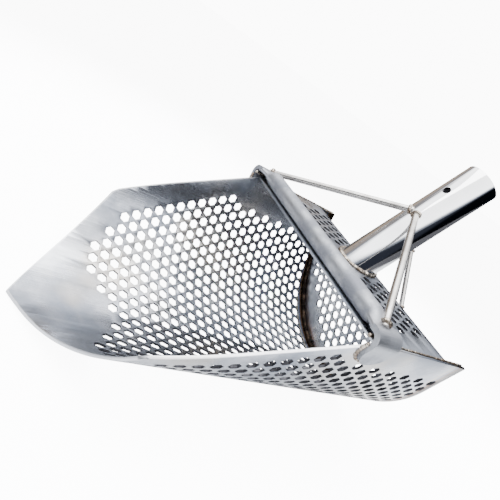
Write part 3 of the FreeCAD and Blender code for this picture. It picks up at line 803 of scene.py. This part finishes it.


# %% [markdown]
# ## Sheet steel
#
# The basket's sheet is grey and satin, with faint straw clouds where it was warmed. Its cutting
# edges were ground, which leaves a narrow, paler and duller band, and the weld along the rear
# wall left it brown and blue. The band and the heat both follow the shape, so they are worked
# out from the same arc and lines as the outline. The walls of the holes have a dark steel of
# their own, painted near black as the shade inside the holes.

# %% Sheet steel
sheet_steel = metal("sheet_steel", (0.50, 0.51, 0.54), (0.19, 0.21, 0.25), 0.21, 0.35, 14.0)
tree = sheet_steel.node_tree
shader = tree.nodes["Principled BSDF"]
place = add_node(tree, "ShaderNodeTexCoord").outputs["Object"]
tone = shader.inputs["Base Color"].links[0].from_socket
rolled_rough = shader.inputs["Roughness"].links[0].from_socket
spot = add_node(tree, "ShaderNodeSeparateXYZ")
feed(tree, spot.inputs["Vector"], place)
straw = between(tree, noise(tree, place, 11.0, detail=3.0), 0.50, 0.68, 0.0, 0.45)
tone = blend(tree, straw, tone, (0.58, 0.50, 0.38, 1))

# %% Ground cutting edges
GROUND = 0.0018
JOIN = 0.0005
level = add_node(tree, "ShaderNodeCombineXYZ")
feed(tree, level.inputs["X"], spot.outputs["X"])
feed(tree, level.inputs["Y"], maths(tree, "ABSOLUTE", spot.outputs["Y"]))
to_centre = add_node(tree, "ShaderNodeVectorMath", operation="DISTANCE")
feed(tree, to_centre.inputs[0], level.outputs["Vector"])
feed(tree, to_centre.inputs[1], (bow_centre.x, bow_centre.y, 0))
from_bow = maths(tree, "SUBTRACT", bow_radius, to_centre.outputs["Value"])
lean_x = (RIM_FRONT_X - CORNER_X) / (RIM_Z - CORNER_Z)
line_x = maths(tree, "MULTIPLY_ADD", spot.outputs["Z"], lean_x, CORNER_X - CORNER_Z * lean_x)
from_line = maths(tree, "DIVIDE", maths(tree, "SUBTRACT", spot.outputs["X"], line_x), math.hypot(1, lean_x))
from_edge = between(tree, spot.outputs["Z"], CORNER_Z - JOIN, CORNER_Z + JOIN, from_bow, from_line)
ragged = maths(tree, "ADD", from_edge, maths(tree, "MULTIPLY", noise(tree, place, 160.0), 0.0016))
ground_edge = between(tree, ragged, GROUND * 0.6, GROUND, 0.55, 0.0)
tone = blend(tree, ground_edge, tone, (0.74, 0.74, 0.75, 1))
feed(tree, shader.inputs["Roughness"], between(tree, ground_edge, 0.0, 1.0, rolled_rough, 0.40))
print("the ground band is", GROUND, "m wide along an arc of radius", round(bow_radius, 4))

# %% Heat tint beside the rear wall
wobble = maths(tree, "MULTIPLY", noise(tree, place, 90.0), 0.004)
lean = maths(tree, "MULTIPLY", spot.outputs["Z"], math.tan(WALL_LEAN))
wall_face = KEEL_REAR_X - WALL_SETBACK - GAUGE
from_wall = maths(tree, "SUBTRACT", maths(tree, "SUBTRACT", wall_face, lean), spot.outputs["X"])
from_seam = maths(tree, "ADD", maths(tree, "ABSOLUTE", from_wall), wobble)
HEAT_REACH = 0.014
warm = use_group(tree, heat, Distance=from_seam, Reach=HEAT_REACH, Colour=tone)
feed(tree, shader.inputs["Base Color"], warm["Colour"])
print("heat colours reach", HEAT_REACH, "m from the rear wall")

# %% [markdown]
# ## Other metals
#
# The other metals are the same steel in other states: the socket is buffed to a mirror, the bar
# is dull from the mill, the rods are drawn and slightly warm in colour, and the beads are rough
# and oxidised, the rear seam's most of all. So they share one function with other numbers, and
# the two sheets and the socket take a second, dull finish painted near black as shade, on the
# walls of the holes and on the unpolished inside of the socket.

# %% Panel, bar, rods, socket and welds
panel_steel = metal("panel_steel", (0.52, 0.53, 0.55), (0.22, 0.24, 0.28), 0.24, 0.35, 14.0)
# A dull steel painted near black: painted shade on the walls of the holes and inside the socket.
painted_shade_steel = metal("painted_shade_steel", (0.10, 0.10, 0.11), (0.03, 0.03, 0.035), 0.50, 0.5, 60.0)
bar_steel = metal("bar_steel", (0.36, 0.37, 0.39), (0.22, 0.23, 0.26), 0.46, 0.6, 40.0)
rod_steel = metal("rod_steel", (0.62, 0.60, 0.57), (0.36, 0.34, 0.32), 0.24, 0.2, 60.0)
socket_steel = metal("socket_steel", (0.86, 0.86, 0.86), (0.74, 0.74, 0.75), 0.05, 0.04, 30.0)
weld_metal = metal("weld_metal", (0.52, 0.47, 0.40), (0.16, 0.12, 0.09), 0.25, 0.3, 220.0)
burnt_weld = metal("burnt_weld", (0.10, 0.07, 0.05), (0.02, 0.016, 0.014), 0.45, 0.4, 160.0)
for piece, steel in ((shell, sheet_steel), (panel, panel_steel), (socket, socket_steel)):
    piece.data.materials[0] = steel
    piece.data.materials[1] = painted_shade_steel
for bead in beads:
    dress(bead, burnt_weld if bead.name == "rear_seam_bead" else weld_metal)
for name, node in nodes.items():
    if name.startswith(("cross_bar", "bar_lug")):
        dress(node, bar_steel)
    if name.startswith(("strut_left", "strut_right", "rear_brace")):
        dress(node, rod_steel)
print("finishes:", [material.name for material in bpy.data.materials if material.users])

# %% [markdown]
# ## Floor and light
#
# The scoop lies on a white table in a bright room: soft light from above, a dark side to the
# room on the left and a warm one on the right. Polished steel has no look of its own, only what
# it mirrors, so the room matters more than any lamp. It is painted on the world as bands of
# brightness by height and side. Light Path tells rays that come straight from the camera from
# all others, so the background can be plain white while the steel mirrors a real room.

# %% Floor
clear_selection()
FLOOR_SIZE = 60
TABLE_EDGE = (0.35, 0.80)
WHITE_FLOOR = 10.0
bpy.ops.mesh.primitive_plane_add(size=FLOOR_SIZE, location=(0, 0, -0.0002))
floor = bpy.context.object
floor.name = "floor"
floor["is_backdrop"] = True
floor_paint = bpy.data.materials.new("floor_paint")
floor_paint.use_nodes = True
tree = floor_paint.node_tree
shader = tree.nodes["Principled BSDF"]
ground = add_node(tree, "ShaderNodeTexCoord").outputs["Object"]
away = add_node(tree, "ShaderNodeVectorMath", operation="LENGTH")
feed(tree, away.inputs[0], ground)
off_table = between(tree, away.outputs["Value"], *TABLE_EDGE)
paint = blend(tree, off_table, (0.88, 0.90, 0.93, 1), (0.02, 0.02, 0.025, 1))
feed(tree, shader.inputs["Base Color"], paint)
feed(tree, shader.inputs["Roughness"], 0.9)
feed(tree, shader.inputs["Emission Color"], (1, 1, 1, 1))
seen = add_node(tree, "ShaderNodeLightPath").outputs["Is Camera Ray"]
feed(tree, shader.inputs["Emission Strength"], between(tree, seen, 0.0, 1.0, 0.0, WHITE_FLOOR))
dress(floor, floor_paint)
print("the table is white to", TABLE_EDGE[0], "m from its middle")

# %% Room
ROOM_LIGHT, WHITE_BACKGROUND = 5.2, 11.0
world = bpy.data.worlds.new("room")
bpy.context.scene.world = world
world.use_nodes = True
tree = world.node_tree
direction = add_node(tree, "ShaderNodeSeparateXYZ")
feed(tree, direction.inputs["Vector"], add_node(tree, "ShaderNodeTexCoord").outputs["Generated"])
height = direction.outputs["Z"]


def band(stops):
    """Colours of the room by height, from the horizon at 0 to straight up at 1."""
    ramp = add_node(tree, "ShaderNodeValToRGB")
    feed(tree, ramp.inputs["Fac"], height)
    elements = ramp.color_ramp.elements
    elements[0].position, elements[0].color = stops[0][0], (*stops[0][1], 1)
    elements[1].position, elements[1].color = stops[-1][0], (*stops[-1][1], 1)
    for place, colour in stops[1:-1]:
        elements.new(place).color = (*colour, 1)
    return ramp.outputs["Color"]


left_side = band([(0.0, (0.006, 0.007, 0.010)), (0.36, (0.006, 0.007, 0.010)), (0.44, (0.10, 0.11, 0.13)),
                  (0.53, (0.95, 0.97, 1.0)), (1.0, (0.8, 0.8, 0.8))])
right_side = band([(0.0, (0.010, 0.010, 0.012)), (0.10, (0.05, 0.045, 0.04)), (0.20, (0.13, 0.10, 0.075)),
                   (0.38, (0.10, 0.09, 0.085)), (0.48, (0.06, 0.06, 0.065)), (0.60, (0.95, 0.95, 0.97)),
                   (1.0, (0.8, 0.8, 0.8))])
rightness = between(tree, direction.outputs["Y"], 0.45, 0.85)
room = blend(tree, rightness, left_side, right_side)
behind = between(tree, direction.outputs["X"], 0.26, 0.54)
beside = between(tree, direction.outputs["Y"], -0.1, 0.4, 1.0, 0.0)
doorway = maths(tree, "MULTIPLY", behind, beside)
room = blend(tree, doorway, room, (0.05, 0.06, 0.08, 1), mode="MULTIPLY")
seen = add_node(tree, "ShaderNodeLightPath").outputs["Is Camera Ray"]
background = tree.nodes["Background"]
feed(tree, background.inputs["Color"], blend(tree, seen, room, (1, 1, 1, 1)))
feed(tree, background.inputs["Strength"], between(tree, seen, 0.0, 1.0, ROOM_LIGHT, WHITE_BACKGROUND))
print("the room shines at", ROOM_LIGHT, "and shows the camera", WHITE_BACKGROUND)


# %% Lamp
LAMP_PLACE, LAMP_AIM = Vector((-0.3, 0.3, 1.8)), Vector((0, 0, 0.05))
bpy.ops.object.light_add(type="AREA", location=LAMP_PLACE)
ceiling_light = bpy.context.object
ceiling_light.name = "ceiling_light"
ceiling_light.data.size = 1.4
ceiling_light.data.energy = 40
ceiling_light.rotation_mode = "QUATERNION"
ceiling_light.rotation_quaternion = (LAMP_AIM - LAMP_PLACE).to_track_quat("-Z", "Y")
print(ceiling_light.name, "has", ceiling_light.data.energy, "W")

low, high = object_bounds()
print("visual box", tuple(low), tuple(high))
